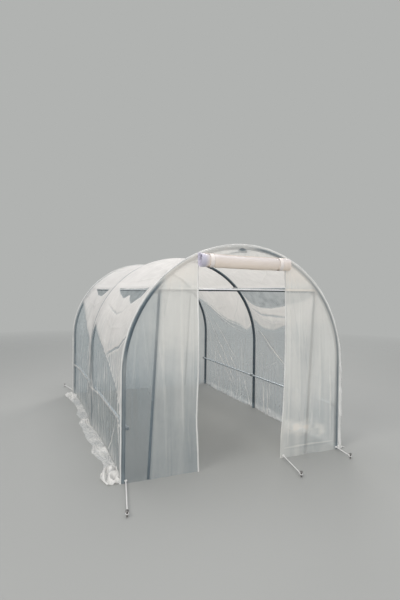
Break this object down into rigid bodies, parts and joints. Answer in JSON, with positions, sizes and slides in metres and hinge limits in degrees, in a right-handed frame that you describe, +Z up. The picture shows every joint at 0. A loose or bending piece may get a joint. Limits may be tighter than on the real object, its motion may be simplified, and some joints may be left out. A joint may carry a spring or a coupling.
{
  "type": "polytunnel greenhouse",
  "caption": "Small walk-in garden tunnel: bent tube hoops with purlins and side rails under a skin of clear film, a framed doorway with its film door rolled up.",
  "frame": {"origin": "centre of the footprint, on the ground", "axes": "+Y along the tunnel from the doorway to the far end, +X to the right for someone who faces the doorway, +Z up"},
  "size_m": [2.3172, 4.074, 1.8485],
  "materials": {
    "hoop_steel": "galvanised tube, dulled outdoors",
    "rail_steel": "galvanised tube",
    "frame_steel": "galvanised tube",
    "clamp_steel": "darkened galvanised fitting",
    "cover_film": "clear to milky polythene film, creased and dusty",
    "end_film": "clear to milky polythene film, stretched flat",
    "skirt_film": "crumpled polythene film, soiled",
    "hem_film": "folded and welded polythene film",
    "door_film": "polythene film in a tight roll",
    "tie_webbing": "pale woven tape",
    "tie_cord": "pale twisted cord",
    "peg_steel": "weathered steel"
  },
  "bodies": {
    "root": {"door_roll": "door_film", "end_seams": "hem_film", "front_crossbar": "frame_steel", "front_crown_joiner": "clamp_steel", "front_hoop_left_half": "hoop_steel", "front_hoop_right_half": "hoop_steel", "front_left_panel": "end_film", "front_left_upright": "frame_steel", "front_right_panel": "end_film", "front_right_upright": "frame_steel", "front_tie_cords": "tie_cord", "front_tie_pegs": "peg_steel", "front_top_panel": "end_film", "left_corner_fittings": "clamp_steel", "left_ground_skirt": "skirt_film", "left_jamb_hem": "hem_film", "left_purlin": "rail_steel", "left_purlin_clamp": "clamp_steel", "left_rail_clamps": "clamp_steel", "left_roll_tie": "tie_webbing", "left_side_rail": "rail_steel", "left_wall_sheet": "cover_film", "middle_crown_joiner": "clamp_steel", "middle_hoop_left_half": "hoop_steel", "middle_hoop_right_half": "hoop_steel", "rear_crossbar": "frame_steel", "rear_crown_joiner": "clamp_steel", "rear_end_sheet": "end_film", "rear_hoop_left_half": "hoop_steel", "rear_hoop_right_half": "hoop_steel", "rear_left_upright": "frame_steel", "rear_right_upright": "frame_steel", "rear_tie_cords": "tie_cord", "rear_tie_pegs": "peg_steel", "ridge_tube": "rail_steel", "right_corner_fittings": "clamp_steel", "right_ground_skirt": "skirt_film", "right_jamb_hem": "hem_film", "right_purlin": "rail_steel", "right_purlin_clamp": "clamp_steel", "right_rail_clamps": "clamp_steel", "right_roll_tie": "tie_webbing", "right_side_rail": "rail_steel", "right_wall_sheet": "cover_film", "roof_sheet": "cover_film"}
  },
  "joints": []
}
